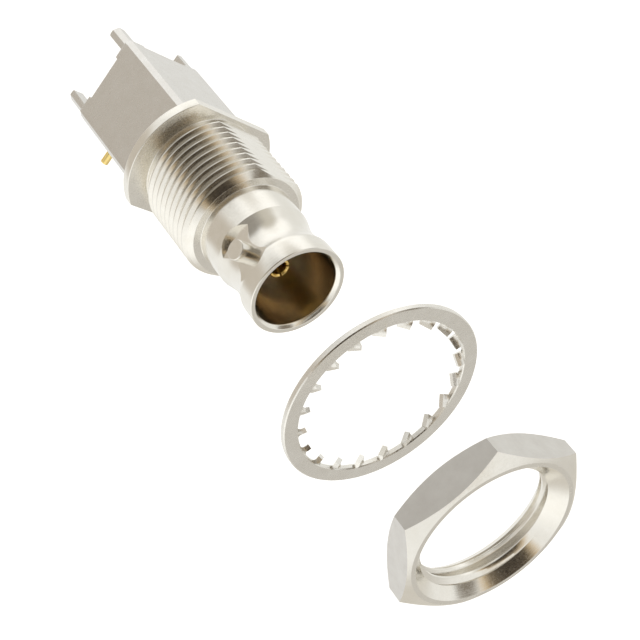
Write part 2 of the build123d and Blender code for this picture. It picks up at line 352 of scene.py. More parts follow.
def from_tree(name, tree, values):
    """Runs a tree on an empty mesh with named inputs and returns the result as a plain mesh object."""
    piece = bpy.data.objects.new(name, bpy.data.meshes.new(name))
    bpy.context.scene.collection.objects.link(piece)
    step = piece.modifiers.new(name, "NODES")
    step.node_group = tree
    for item in tree.interface.items_tree:
        if item.in_out == "INPUT" and item.name in values:
            step[item.identifier] = values[item.name]
    apply_modifier(piece, step)
    return piece


def thread_tool(name, crest, start, turns, far_radius):
    """A threaded wall and a plain wall at far_radius, closed into one solid tube."""
    rows = round(ROWS * turns) + 1
    sizes = {"Pitch": PITCH * MM, "Start": start * MM, "Turns": float(turns), "Rows": rows,
             "Around": AROUND + 1}
    near = from_tree(name, HELICAL_WALL, {**sizes, "Crest radius": crest * MM, "Depth": THREAD_DEPTH * MM})
    far = from_tree("far wall", HELICAL_WALL, {**sizes, "Crest radius": far_radius * MM, "Depth": 0.0})
    work = bmesh.new()
    work.from_mesh(near.data)
    work.from_mesh(far.data)
    work.verts.ensure_lookup_table()

    def corner(wall, row, step):
        return work.verts[(wall * rows + row) * (AROUND + 1) + step]

    for row in (0, rows - 1):
        for step in range(AROUND):
            work.faces.new((corner(0, row, step), corner(0, row, step + 1),
                            corner(1, row, step + 1), corner(1, row, step)))
    for step, first in ((AROUND, 0), (0, rows - 1 - ROWS)):
        for row in range(first, first + ROWS):
            work.faces.new((corner(0, row, step), corner(0, row + 1, step),
                            corner(1, row + 1, step), corner(1, row, step)))
    work.to_mesh(near.data)
    work.free()
    bpy.data.objects.remove(far)
    tidy_mesh(near)
    return near


def volume(piece):
    """The volume a piece encloses, in cubic millimetres, to see that a cut did what it should."""
    work = bmesh.new()
    work.from_mesh(piece.data)
    size = work.calc_volume(signed=True) / MM ** 3
    open_edges = sum(not edge.is_manifold for edge in work.edges)
    work.free()
    if open_edges:
        print("   ", piece.name, "has", open_edges, "open edges")
    return size


groove = thread_tool("groove_tool", THREAD_RADIUS, THREAD_START_Y - TURNS_AHEAD * PITCH,
                     TURNS_AHEAD + TURNS_BEHIND, THREAD_RADIUS + TOOL_OVERRUN)
print("the tool holds", round(volume(groove), 1), "cubic mm")

# %% [markdown]
# Cuts and joins are boolean operations. The exact solver keeps clean edges where a flat meets a thread. It
# works best on sizes near one, so the meshes are scaled to millimetres for it and back. Each boolean is
# applied at once and its tool deleted, which leaves a plain mesh.

# %% Cut the thread
MERGE_CUT = 0.0008 * MM


def combine(piece, tool, operation):
    """Applies one boolean to the piece and removes the tool."""
    print(operation.lower(), f"{piece.name} {volume(piece):.2f} and {tool.name} {volume(tool):.2f}", end="")
    for part in (piece, tool):
        part.data.transform(Matrix.Scale(1 / MM, 4))
    step = piece.modifiers.new("cut", "BOOLEAN")
    step.operation = operation
    step.solver = "EXACT"
    step.object = tool
    apply_modifier(piece, step)
    piece.data.transform(Matrix.Scale(MM, 4))
    tidy_mesh(piece, MERGE_CUT)
    print(f" -> {volume(piece):.2f}")
    bpy.data.objects.remove(tool)


combine(shell, groove, "DIFFERENCE")

# %% [markdown]
# Three flats are milled on the shell: one along the thread, which keeps the jack from turning in its panel,
# and two on the flange. Each is cut by a box. Where it can, a box ends a hair's breadth off the flange's
# faces, because the solver works badly where two faces lie in one plane.

# %% Mill the flats
THREAD_FLAT_Z = 5.72
FAR = 12.0
SHORT_OVERRUN = 0.1
HAIR = 0.005


def box_between(name, low, high):
    """A box tool between two corners in millimetres."""
    (x0, y0, z0), (x1, y1, z1) = low, high
    corners = [(x, y, z) for x in (x0, x1) for y in (y0, y1) for z in (z0, z1)]
    sides = [(0, 1, 3, 2), (4, 6, 7, 5), (0, 4, 5, 1), (2, 3, 7, 6), (0, 2, 6, 4), (1, 5, 7, 3)]
    return mesh_object(name, corners, sides)


for name, low, high in (
    ("thread_flat", (-FAR, THREAD_FRONT_Y - SHORT_OVERRUN, THREAD_FLAT_Z), (FAR, -HAIR, FAR)),
    ("upper_flat", (-FAR, 0.0, FLANGE_FLAT), (FAR, FLANGE_BACK_Y + HAIR, FAR)),
    ("lower_flat", (-FAR, -HAIR, -FAR), (FAR, FLANGE_BACK_Y + HAIR, -FLANGE_FLAT)),
):
    combine(shell, box_between(name, low, high), "DIFFERENCE")

# %% [markdown]
# The plug's bayonet ring catches behind two studs. A hollow mill leaves each one standing in a round relief
# with a flat floor. Here the relief is cut first and the stud then set into it, both spun about the mating
# axis and laid across it. The stud's foot sinks a little into the floor, so that the two join.

# %% Bayonet studs
STUD_Y = MOUTH_Y + 4.2
STUD_RADIUS = 0.98
STUD_TIP = 5.5
STUD_BREAK = 0.09
STUD_ARC_STEPS = 4
STUD_SUNK = 0.1
STUD_RELIEF_RADIUS = 2.7
STUD_RELIEF_FLOOR = 4.25


def laid(piece, y, degrees, axis):
    """Turns a piece that was spun about Y, and moves its new axis to the place y."""
    turn = Matrix.Rotation(math.radians(degrees), 4, axis)
    piece.data.transform(Matrix.Translation((0, y * MM, 0)) @ turn)
    return piece


for side in (-1, 1):
    relief = spun("stud_relief", [(0, STUD_RELIEF_FLOOR), (STUD_RELIEF_RADIUS, STUD_RELIEF_FLOOR),
                                  (STUD_RELIEF_RADIUS, FAR), (0, FAR)], around=120)
    combine(shell, laid(relief, STUD_Y, -90 * side, "Z"), "DIFFERENCE")
    foot = STUD_RELIEF_FLOOR - STUD_SUNK
    stud = spun("stud", rounded([(0, foot), (STUD_RADIUS, foot), (STUD_RADIUS, STUD_TIP, STUD_BREAK),
                                 (0, STUD_TIP)], STUD_ARC_STEPS), around=96)
    combine(shell, laid(stud, STUD_Y, -90 * side, "Z"), "UNION")

# %% [markdown]
# Shading comes last. The whole piece is shaded smooth, except where two faces meet at more than a given
# angle. Weighted normals then follow the wide faces, so that a milled flat stays flat up to its edge.

# %% Shade the shell
SHARP_ANGLE = 30
THREAD_SHARP_ANGLE = 24
FACE_WEIGHT = 100


def smooth(piece, angle=SHARP_ANGLE):
    """Smooth shading, sharp edges wherever faces meet at more than the angle, and wide faces kept flat."""
    piece.data.polygons.foreach_set("use_smooth", [True] * len(piece.data.polygons))
    piece.data.set_sharp_from_angle(angle=math.radians(angle))
    weighted = piece.modifiers.new("weighted", "WEIGHTED_NORMAL")
    weighted.keep_sharp = True
    weighted.weight = FACE_WEIGHT
    apply_modifier(piece, weighted)
    triangles = sum(len(face.vertices) - 2 for face in piece.data.polygons)
    print(piece.name, "has", triangles, "triangles")
    return piece


smooth(shell, THREAD_SHARP_ANGLE)

# %% [markdown]
# The square housing is a casting. Its outline is a rectangle with its four corners cut off, extruded along
# the axis, and the edges of its two ends are rounded. A casting's edges are softer than a turned part's.

# %% Square housing
HOUSING_EDGE = 0.48
REAR_FACE_Y = 14.1
CASTING_ROUND = 0.07


def cornered(x0, x1, z0, z1, cuts):
    """A rectangle's outline from its -X, -Z corner round, with a width cut off each of its four corners."""
    corners = ((x0, z0), (x1, z0), (x1, z1), (x0, z1))
    outline = []
    for index, (corner, cut) in enumerate(zip(corners, cuts)):
        ends = (corners[index - 1], corners[(index + 1) % 4]) if cut else (corner,)
        for end in ends:
            outline.append(tuple(a + cut * ((b > a) - (b < a)) for a, b in zip(corner, end)))
    return outline


def extruded(name, outline, y0, y1, edge):
    """A prism along Y with its end edges rounded."""
    count = len(outline)
    vertices = [(x, y0, z) for x, z in outline] + [(x, y1, z) for x, z in outline]
    faces = [tuple(range(count)), tuple(range(2 * count - 1, count - 1, -1))]
    for step in range(count):
        beside = (step + 1) % count
        faces.append((step, count + step, count + beside, beside))
    piece = mesh_object(name, vertices, faces)
    if edge:
        work = bmesh.new()
        work.from_mesh(piece.data)
        rims = [rim for rim in work.edges if rim.verts[0].co.y == rim.verts[1].co.y]
        bmesh.ops.bevel(work, geom=rims, offset=edge * MM, segments=3, profile=0.5, affect="EDGES")
        work.to_mesh(piece.data)
        work.free()
    return piece


housing_outline = cornered(-HOUSING_HALF_WIDTH, HOUSING_HALF_WIDTH, -HOUSING_HALF_HEIGHT, HOUSING_HALF_HEIGHT,
                           (HOUSING_EDGE,) * 4)
housing = extruded("square_housing_cast", housing_outline, FLANGE_BACK_Y, REAR_FACE_Y, CASTING_ROUND)
print("the casting's block holds", round(volume(housing), 1), "cubic mm")

# %% [markdown]
# Four pads hold the housing off the board, and four legs go through the board. A leg is the convex hull of
# three outlines: its foot, sunk into the pad, the start of its tip, and the smaller end. Its edges are broken
# and its faces split into triangles, which the solver joins to the pad more surely than faces of many sides.

# %% Pads and legs
PAD_END_Y = 14.5
PAD_WIDTH = 2.15
PAD_HEIGHT = 2.3
PAD_STEP = 0.02
PAD_SUNK = 0.5
LEG_WIDTH = 1.2
LEG_HEIGHT = 1.15
LEG_STEP = 0.1
LEG_INSET = 0.2
LEG_SUNK = 0.3
LEG_BEVEL = 0.16
LEG_BREAK = 0.025
SAME_FACE = math.radians(1)
BROKEN_EDGE = math.radians(20)
CUTS = (0, 0, HOUSING_EDGE, 0)


def pad_solid(side_x, side_z):
    """One standoff pad in a corner of the rear face."""
    x_out, z_out = HOUSING_HALF_WIDTH - PAD_STEP, HOUSING_HALF_HEIGHT - PAD_STEP
    outline = cornered(x_out - PAD_WIDTH, x_out, z_out - PAD_HEIGHT, z_out, CUTS)
    pad = extruded("pad", outline, REAR_FACE_Y - PAD_SUNK, PAD_END_Y, CASTING_ROUND)
    pad.data.transform(Matrix.Diagonal((side_x, 1, side_z, 1)))
    tidy_mesh(pad)
    return pad


def leg_solid(side_x, side_z):
    """One leg with its foot sunk into the pad and its tip bevelled on the inner sides."""
    x_out, z_out = HOUSING_HALF_WIDTH - LEG_STEP, HOUSING_HALF_HEIGHT - LEG_INSET
    x_in, z_in = x_out - LEG_WIDTH, z_out - LEG_HEIGHT
    work = bmesh.new()
    for y, inset in ((REAR_FACE_Y - LEG_SUNK, 0), (LEG_END_Y - LEG_BEVEL, 0), (LEG_END_Y, LEG_BEVEL)):
        for x, z in cornered(x_in + inset, x_out, z_in + inset, z_out, CUTS):
            work.verts.new(Vector((x * side_x, y, z * side_z)) * MM)
    bmesh.ops.convex_hull(work, input=work.verts)
    bmesh.ops.dissolve_limit(work, angle_limit=SAME_FACE, verts=work.verts, edges=work.edges)
    edges = [edge for edge in work.edges if edge.calc_face_angle(0) > BROKEN_EDGE]
    bmesh.ops.bevel(work, geom=edges, offset=LEG_BREAK * MM, segments=2, profile=0.5, affect="EDGES")
    bmesh.ops.triangulate(work, faces=work.faces)
    leg = mesh_object("leg", [], [])
    work.to_mesh(leg.data)
    work.free()
    tidy_mesh(leg)
    return leg


for side_x in (-1, 1):
    for side_z in (-1, 1):
        combine(housing, pad_solid(side_x, side_z), "UNION")
        combine(housing, leg_solid(side_x, side_z), "UNION")

# %% [markdown]
# The housing is bored from both ends: a seat for the shell's spigot in front, a narrower bore round the
# insulator, and a seat for the cap behind. One more hole goes down through the bottom wall for the tail's
# bush. Each seat is a little wider than what sits in it, as a press fit is before it is pressed.

# %% Bore the housing
CAP_RADIUS = extent("rear_cap", X)[1]
CAP_FRONT_Y = extent("rear_cap", Y)[0]
BUSH_RADIUS = extent("tail_bush", X)[1]
BUSH_LOW, BUSH_TOP = extent("tail_bush", Z)
BUSH_HOLE_DEPTH = 6.0
TAIL_Y = sum(extent("solder_tail", Y)) / 2
FIT = 0.02

combine(housing, spun("housing_bore", [
    (0, FLANGE_BACK_Y - TOOL_OVERRUN),
    (SPIGOT_RADIUS + FIT, FLANGE_BACK_Y - TOOL_OVERRUN),
    (SPIGOT_RADIUS + FIT, SPIGOT_END_Y),
    (INSULATOR_RADIUS, SPIGOT_END_Y),
    (INSULATOR_RADIUS, CAP_FRONT_Y),
    (CAP_RADIUS + FIT, CAP_FRONT_Y),
    (CAP_RADIUS + FIT, REAR_FACE_Y + TOOL_OVERRUN),
    (0, REAR_FACE_Y + TOOL_OVERRUN),
], around=128), "DIFFERENCE")
bush_hole = spun("bush_hole", [(0, 0), (BUSH_RADIUS + FIT, 0), (BUSH_RADIUS + FIT, BUSH_HOLE_DEPTH),
                               (0, BUSH_HOLE_DEPTH)], around=48)
combine(housing, laid(bush_hole, TAIL_Y, -90, "X"), "DIFFERENCE")
smooth(housing)

# %% [markdown]
# The centre contact is a turned socket. Its mouth is rounded to guide the plug's pin, and two saw cuts right
# across it make four slots, so that its fingers can spring apart.

# %% Centre contact
CONTACT_BORE = 0.675
CONTACT_BORE_DEPTH = 5.2
CONTACT_LEAD_WIDTH = 0.12
CONTACT_LEAD_DEPTH = 0.15
SLOT_WIDTH = 0.2
SLOT_LENGTH = 4.4
SLOT_REACH = 2.0
STEM_RADIUS = 0.95

contact = spun("centre_contact_socket", rounded([
    (CONTACT_BORE + CONTACT_LEAD_WIDTH, CONTACT_TIP_Y, 0.05),
    (CONTACT_RADIUS, CONTACT_TIP_Y, 0.18),
    (CONTACT_RADIUS, INSULATOR_Y),
    (STEM_RADIUS, INSULATOR_Y),
    (STEM_RADIUS, CONTACT_END_Y),
    (0, CONTACT_END_Y),
    (0, CONTACT_TIP_Y + CONTACT_BORE_DEPTH),
    (CONTACT_BORE, CONTACT_TIP_Y + CONTACT_BORE_DEPTH),
    (CONTACT_BORE, CONTACT_TIP_Y + CONTACT_LEAD_DEPTH, 0.05),
]), around=96)
for turn in (45, 135):
    slot = box_between("slot", (-SLOT_WIDTH / 2, CONTACT_TIP_Y - SHORT_OVERRUN, -SLOT_REACH),
                       (SLOT_WIDTH / 2, CONTACT_TIP_Y + SLOT_LENGTH, SLOT_REACH))
    slot.data.transform(Matrix.Rotation(math.radians(turn), 4, "Y"))
    combine(contact, slot, "DIFFERENCE")
smooth(contact)

# %% [markdown]
# The lock washer is stamped: a flat ring whose inner teeth are each twisted, so that their corners bite into
# the flange and the panel. Geometry nodes do the twisting. A tooth begins as a block in thin slices. Each is
# turned about the tooth's length, not at all at the root and fully from the middle on, and copies of the
# tooth are set round the axis.

# %% Twisted teeth
TOOTH_STEPS = 9
TWIST_BEGINS = 0.45
TWIST_ENDS = -0.15


def tooth_ring_tree():
    """One twisted tooth, repeated round the axis."""
    tree = bpy.data.node_groups.new("twisted teeth", "GeometryNodeTree")
    given = tree_inputs(tree, ("Tip radius", "Length", "Width", "Thickness", "Twist"), ("Count", "Steps"))
    size = node(tree, "ShaderNodeCombineXYZ", {0: given["Length"], 1: given["Thickness"], 2: given["Width"]})
    blank = node(tree, "GeometryNodeMeshCube", {"Size": size.outputs[0], "Vertices X": given["Steps"],
                                                "Vertices Y": 3, "Vertices Z": 5})
    position = node(tree, "GeometryNodeInputPosition").outputs[0]
    place = node(tree, "ShaderNodeSeparateXYZ", {0: position})
    share = node(tree, "ShaderNodeMapRange", {
        "Value": maths(tree, "DIVIDE", place.outputs["X"], given["Length"]), "From Min": TWIST_BEGINS,
        "From Max": TWIST_ENDS, "To Min": 0.0, "To Max": 1.0}, interpolation_type="SMOOTHSTEP").outputs[0]
    twisted = node(tree, "ShaderNodeVectorRotate", {
        "Vector": position, "Angle": maths(tree, "MULTIPLY", share, given["Twist"])}, rotation_type="X_AXIS")
    out = node(tree, "ShaderNodeCombineXYZ", {
        0: maths(tree, "ADD", given["Tip radius"], maths(tree, "MULTIPLY", given["Length"], 0.5))})
    moved = node(tree, "ShaderNodeVectorMath", {0: twisted.outputs[0], 1: out.outputs[0]}, operation="ADD")
    tooth = node(tree, "GeometryNodeSetPosition", {"Geometry": blank.outputs["Mesh"],
                                                   "Position": moved.outputs[0]})
    points = node(tree, "GeometryNodeMeshLine", {"Count": given["Count"], "Offset": (0.0, 0.0, 0.0)})
    number = node(tree, "GeometryNodeInputIndex").outputs[0]
    angle = maths(tree, "MULTIPLY", maths(tree, "DIVIDE", number, given["Count"]), 2 * math.pi)
    turn = node(tree, "ShaderNodeCombineXYZ", {1: angle})
    ring = node(tree, "GeometryNodeInstanceOnPoints", {
        "Points": points.outputs["Mesh"], "Instance": tooth.outputs[0], "Rotation": turn.outputs[0]})
    tree_output(tree, ring.outputs[0], given["Material"])
    return tree


TEETH = tooth_ring_tree()
print("the teeth's tree has", len(TEETH.nodes), "nodes")

# %% [markdown]
# The ring is spun with small chamfers, as tumbling after stamping leaves them. The teeth reach a little into
# it and are joined to it while both lie about the origin, and the whole washer is then moved to its place.

# %% Lock washer
WASHER_THICKNESS = 0.6
RING_WIDTH = 1.4
WASHER_BEVEL = 0.09
TOOTH_COUNT = 20
TOOTH_TIP = 7.5
TOOTH_WIDTH = 1.15
TOOTH_THICKNESS = 0.45
TOOTH_ROOT = 0.3
TOOTH_TWIST = math.radians(-38)
TOOTH_PHASE = math.radians(-8.5)

ring_inside = WASHER_RADIUS - RING_WIDTH
teeth = from_tree("teeth", TEETH, {
    "Tip radius": TOOTH_TIP * MM, "Length": (ring_inside + TOOTH_ROOT - TOOTH_TIP) * MM,
    "Width": TOOTH_WIDTH * MM, "Thickness": TOOTH_THICKNESS * MM, "Twist": TOOTH_TWIST,
    "Count": TOOTH_COUNT, "Steps": TOOTH_STEPS})
teeth.data.transform(Matrix.Rotation(TOOTH_PHASE, 4, "Y"))
half = WASHER_THICKNESS / 2
washer = spun("lock_washer_stamped", [
    (WASHER_RADIUS - WASHER_BEVEL, -half), (WASHER_RADIUS, -half + WASHER_BEVEL),
    (WASHER_RADIUS, half - WASHER_BEVEL), (WASHER_RADIUS - WASHER_BEVEL, half),
    (ring_inside + WASHER_BEVEL, half), (ring_inside, half - WASHER_BEVEL),
    (ring_inside, -half + WASHER_BEVEL), (ring_inside + WASHER_BEVEL, -half)])
combine(washer, teeth, "UNION")
washer.data.transform(Matrix.Translation((0, WASHER_Y * MM, 0)))
smooth(washer)

# %% [markdown]
# The nut is a hexagon whose corners are turned off on both faces, so it is the common part of a prism and a
# spun envelope. The prism stands a little proud of the envelope at both ends, and the envelope is wider than
# the prism's corners. A wide countersink opens the nut's front, a narrow one its rear.

# %% Hexagon nut
NUT_ACROSS_FLATS = 15.8
NUT_TURN = 10.8
NUT_FACE_MARGIN = 0.3
NUT_FACE_RADIUS = NUT_ACROSS_FLATS / 2 - NUT_FACE_MARGIN
NUT_CHAMFER = math.radians(30)
NUT_FRONT_COUNTERSINK = 0.8
NUT_REAR_COUNTERSINK = 0.35
NUT_CREST_RADIUS = 5.95
THREAD_GAP = 0.05
ENVELOPE_MARGIN = 0.3

corner_radius = NUT_ACROSS_FLATS / math.sqrt(3)
nut_corners = [(corner_radius * math.cos(math.radians(NUT_TURN + 60 * k)),
                corner_radius * math.sin(math.radians(NUT_TURN + 60 * k))) for k in range(6)]
nut = extruded("hex_nut_threaded", nut_corners, NUT_FRONT_Y - SHORT_OVERRUN, NUT_BACK_Y + SHORT_OVERRUN, 0)
wide = corner_radius + ENVELOPE_MARGIN
drop = (wide - NUT_FACE_RADIUS) * math.tan(NUT_CHAMFER)
thread_wall = THREAD_RADIUS + THREAD_GAP
combine(nut, spun("nut_envelope", rounded([
    (thread_wall + NUT_FRONT_COUNTERSINK, NUT_FRONT_Y, 0.05),
    (NUT_FACE_RADIUS, NUT_FRONT_Y, 0.1),
    (wide, NUT_FRONT_Y + drop),
    (wide, NUT_BACK_Y - drop),
    (NUT_FACE_RADIUS, NUT_BACK_Y, 0.1),
    (thread_wall + NUT_REAR_COUNTERSINK, NUT_BACK_Y, 0.04),
    (NUT_CREST_RADIUS, NUT_BACK_Y - NUT_REAR_COUNTERSINK - THREAD_DEPTH),
    (NUT_CREST_RADIUS, NUT_FRONT_Y + NUT_FRONT_COUNTERSINK + thread_wall - NUT_CREST_RADIUS),
])), "INTERSECT")

# %% [markdown]
# The nut's thread has to meet the jack's when the nut is screwed home. So the same tool cuts it, started
# from the same crest and set back along the axis by the way that the nut travels to its seat. A whole number
# of turns then brings its start to just in front of the nut, which changes nothing in how the threads meet.

# %% Thread in the nut
NUT_TURNS = 7
THREAD_AT_REST_Y = THREAD_START_Y - NUT_TRAVEL

turns_back = math.floor((NUT_FRONT_Y - TOOL_OVERRUN - THREAD_AT_REST_Y) / PITCH)
nut_thread = thread_tool("nut_thread", thread_wall, THREAD_AT_REST_Y + turns_back * PITCH, NUT_TURNS,
                         NUT_CREST_RADIUS - TOOL_OVERRUN)
combine(nut, nut_thread, "DIFFERENCE")
smooth(nut, THREAD_SHARP_ANGLE)

# %% [markdown]
# The solder tail stands in a white bush in the housing's bottom wall. Both are small turned pieces about an
# upright axis, so each is one profile, spun as before and then stood up where the frame has its node.

# %% Tail and bush
TAIL_LOW, TAIL_HIGH = extent("solder_tail", Z)
TAIL_RADIUS = 0.425
SHANK_RADIUS = extent("solder_tail", X)[1]


def spun_upright(name, outline):
    """An outline of (radius, z) corners spun about the tail's own upright axis."""
    piece = laid(spun(name, rounded(outline), around=64), TAIL_Y, 90, "X")
    tidy_mesh(piece)
    return smooth(piece)


tail = spun_upright("solder_tail_turned", [
    (0, TAIL_LOW), (TAIL_RADIUS, TAIL_LOW, 0.12), (TAIL_RADIUS, BUSH_LOW),
    (SHANK_RADIUS, BUSH_LOW), (SHANK_RADIUS, TAIL_HIGH, 0.1), (0, TAIL_HIGH)])
bush = spun_upright("tail_bush_turned", [
    (SHANK_RADIUS + FIT, BUSH_LOW, 0.04), (BUSH_RADIUS, BUSH_LOW, 0.04),
    (BUSH_RADIUS, BUSH_TOP), (SHANK_RADIUS + FIT, BUSH_TOP)])

# %% [markdown]
# A thin cap with a small dimple closes the housing behind, and two rings of insulation hold the contact in
# the middle: one inside the shell and one inside the housing. The frame's boxes give their lengths.

# %% Cap and insulators
CAP_DIMPLE_RADIUS = 0.8
CAP_DIMPLE_SLOPE = 0.1
CAP_DIMPLE_DEPTH = 0.15
STEM_GAP = 0.02

cap = smooth(spun("rear_cap_pressed", rounded([
    (0, CAP_FRONT_Y),
    (CAP_RADIUS, CAP_FRONT_Y),
    (CAP_RADIUS, REAR_FACE_Y, 0.08),
    (CAP_DIMPLE_RADIUS, REAR_FACE_Y, 0.05),
    (CAP_DIMPLE_RADIUS - CAP_DIMPLE_SLOPE, REAR_FACE_Y - CAP_DIMPLE_DEPTH, 0.05),
    (0, REAR_FACE_Y - CAP_DIMPLE_DEPTH),
]), around=96))


def insulator(name, replaced):
    """A ring of insulation in the box of the node it replaces, round the contact's stem."""
    start, end = extent(replaced, Y)
    outer = extent(replaced, X)[1]
    inner = STEM_RADIUS + STEM_GAP
    outline = [(inner, start, 0.06), (outer, start, 0.06), (outer, end), (inner, end)]
    return smooth(spun(name, rounded(outline), around=96))


front_insulator = insulator("front_insulator_turned", "front_insulator")
rear_insulator = insulator("rear_insulator_turned", "rear_insulator")

# %% [markdown]
# Now the surfaces. A material's pattern is read at a place. Object coordinates stay with the piece when it
# moves, and here they are turned into millimetres. The fine rings of a turned surface depend only on radius
# and height, so those two are their place. The first material is the insulators' white plastic.


# %% A material and its places
def material(name):
    """An empty node material with its shader."""
    made = bpy.data.materials.new(name)
    made.use_nodes = True
    tree = made.node_tree
    tree.nodes.clear()
    shader = tree.nodes.new("ShaderNodeBsdfPrincipled")
    output = tree.nodes.new("ShaderNodeOutputMaterial")
    tree.links.new(shader.outputs["BSDF"], output.inputs["Surface"])
    return made, tree, shader


def object_place(tree):
    """Object coordinates in millimetres."""
    coordinates = tree.nodes.new("ShaderNodeTexCoord").outputs["Object"]
    return node(tree, "ShaderNodeVectorMath", {0: coordinates, "Scale": 1 / MM}, operation="SCALE").outputs[0]


def ring_place(tree, place):
    """(radius, y, 0) about the mating axis, for marks that run around it."""
    part = node(tree, "ShaderNodeSeparateXYZ", {0: place})
    squares = maths(tree, "ADD", maths(tree, "MULTIPLY", part.outputs[0], part.outputs[0]),
                    maths(tree, "MULTIPLY", part.outputs[2], part.outputs[2]))
    radius = maths(tree, "SQRT", squares)
    return node(tree, "ShaderNodeCombineXYZ", {0: radius, 1: part.outputs[1]}).outputs[0]


insulation, tree, shader = material("white_insulation")
place = object_place(tree)
rings = ring_place(tree, place)
print(insulation.name, "starts with", len(tree.nodes), "nodes")

# %% [markdown]
# The fluorinated plastic is slightly waxy: matt, with a little light let in under the surface. Noise does
# the rest: clouds between two near whites, small changes of roughness, and a shallow bump in rings.


# %% Insulation
def noise(tree, place, scale, detail=2.0, roughness=0.5):
    """Noise from 0 to 1 at a number of features per millimetre."""
    return node(tree, "ShaderNodeTexNoise", {"Vector": place, "Scale": scale, "Detail": detail,
                                             "Roughness": roughness}).outputs["Fac"]


def ranged(tree, value, low, high, start=0.3, end=0.7):
    """The value spread over a range."""
    return node(tree, "ShaderNodeMapRange", {"Value": value, "From Min": start, "From Max": end,
                                             "To Min": low, "To Max": high}).outputs[0]


def mixed_colour(tree, factor, first, second):
    """A colour between two; each is a socket or three numbers."""
    ends = [end if isinstance(end, bpy.types.NodeSocket) else (*end, 1) for end in (first, second)]
    mix = node(tree, "ShaderNodeMix", {"Factor": factor, "A": ends[0], "B": ends[1]}, data_type="RGBA")
    return mix.outputs["Result"]


tone = mixed_colour(tree, noise(tree, place, scale=1.2, detail=3.0), (0.86, 0.85, 0.81), (0.80, 0.79, 0.75))
tree.links.new(tone, shader.inputs["Base Color"])
tree.links.new(ranged(tree, noise(tree, place, scale=4.0), 0.4, 0.5), shader.inputs["Roughness"])
shader.inputs["Subsurface Weight"].default_value = 0.15
shader.inputs["Subsurface Scale"].default_value = 0.4 * MM
marks = node(tree, "ShaderNodeBump", {"Distance": 0.004 * MM, "Height": noise(tree, rings, scale=8.0)})
tree.links.new(marks.outputs[0], shader.inputs["Normal"])
print(insulation.name, "has", len(tree.nodes), "nodes")

# %% [markdown]
# Bright nickel is mostly what it reflects, and small unevenness makes it look real. One helper makes any of
# the metals: slow clouds mix two near colours, quick ones vary the roughness, as handling does, and rings or
# a fine grain make the bump. The anisotropic setting stretches reflections across the rings of a turned face.


# %% One helper for all metals
def metal(name, colour, tint, roughness, rings=0.0, ring_scale=9.0, grain=0.0, grain_scale=14.0, spread=0.05,
          turned=0.0):
    """A metal with clouded colour and roughness; rings and grain are the heights of its bump in mm."""
    made, tree, shader = material(name)
    place = object_place(tree)
    shader.inputs["Metallic"].default_value = 1.0
    if turned:
        axis = (0.0, 1.0, 0.0)
        around = node(tree, "ShaderNodeVectorMath", {0: axis, 1: place}, operation="CROSS_PRODUCT")
        tree.links.new(around.outputs[0], shader.inputs["Tangent"])
        shader.inputs["Anisotropic"].default_value = turned
        shader.inputs["Anisotropic Rotation"].default_value = 0.25
    clouds = ranged(tree, noise(tree, place, scale=0.9, detail=4.0, roughness=0.6), 0.0, 1.0)
    tree.links.new(mixed_colour(tree, clouds, colour, tint), shader.inputs["Base Color"])
    fine = noise(tree, place, scale=5.0, detail=3.0, roughness=0.6)
    tree.links.new(ranged(tree, fine, roughness - spread, roughness + spread), shader.inputs["Roughness"])
    normal = None
    if rings:
        marks = noise(tree, ring_place(tree, place), ring_scale, detail=3.0, roughness=0.65)
        normal = node(tree, "ShaderNodeBump", {"Strength": 1.0, "Distance": rings * MM, "Height": marks})
    if grain:
        pits = noise(tree, place, grain_scale, detail=3.0, roughness=0.6)
        coat = node(tree, "ShaderNodeBump", {"Strength": 1.0, "Distance": grain * MM, "Height": pits})
        if normal:
            tree.links.new(normal.outputs[0], coat.inputs["Normal"])
        normal = coat
    if normal:
        tree.links.new(normal.outputs[0], shader.inputs["Normal"])
    return made


NICKEL = (0.845, 0.82, 0.765)
NICKEL_WARM = (0.81, 0.78, 0.715)
polished = metal("polished_nickel", NICKEL, NICKEL_WARM, 0.18, rings=0.003, turned=0.5)
print(polished.name, "has", len(polished.node_tree.nodes), "nodes")

# %% [markdown]
# The other metals differ by what was done to them, all but the bore. Facing and threading leave other rings
# than turning, the deep bore is given a warm, dark colour as painted shade, the casting is matt and grained,
# the stamped steel is uneven, the nut's sides are ground, and the contact and its tail are plated with gold.

# %% The other metals
faced = metal("faced_nickel", NICKEL, NICKEL_WARM, 0.24, rings=0.004, ring_scale=6.0, turned=0.7)
threaded = metal("threaded_nickel", NICKEL, NICKEL_WARM, 0.18, rings=0.002)
# Painted shade: the bore's nickel is darker and warmer than the outside's, for the shade deep in the mouth.
bore_painted_shade_nickel = metal("bore_painted_shade_nickel", (0.73, 0.64, 0.50), (0.70, 0.60, 0.45), 0.24, rings=0.001, spread=0.01)
cast = metal("cast_nickel", (0.75, 0.735, 0.71), (0.71, 0.69, 0.655), 0.30, grain=0.006, grain_scale=8.0)
stamped = metal("stamped_steel", (0.85, 0.83, 0.785), (0.79, 0.765, 0.715), 0.28, grain=0.003, spread=0.08)
ground = metal("ground_nickel", (0.72, 0.70, 0.665), (0.66, 0.635, 0.60), 0.36, grain=0.004, grain_scale=20.0)
nut_polish = metal("nut_nickel", NICKEL, NICKEL_WARM, 0.17, rings=0.003, turned=0.6)
gold = metal("gold_plate", (1.0, 0.80, 0.34), (0.97, 0.72, 0.27), 0.2, rings=0.002, grain=0.001)
print("materials:", sorted(made.name for made in bpy.data.materials))

# %% [markdown]
# One piece can hold several finishes. Each face is given one by where it lies and which way it looks: the
# shell's inside carries painted shade, darker than its outside, and the nut's six sides are ground while its
# chamfers, faces and countersinks are turned bright.

# %% Finishes on their faces
NEAR = 0.1


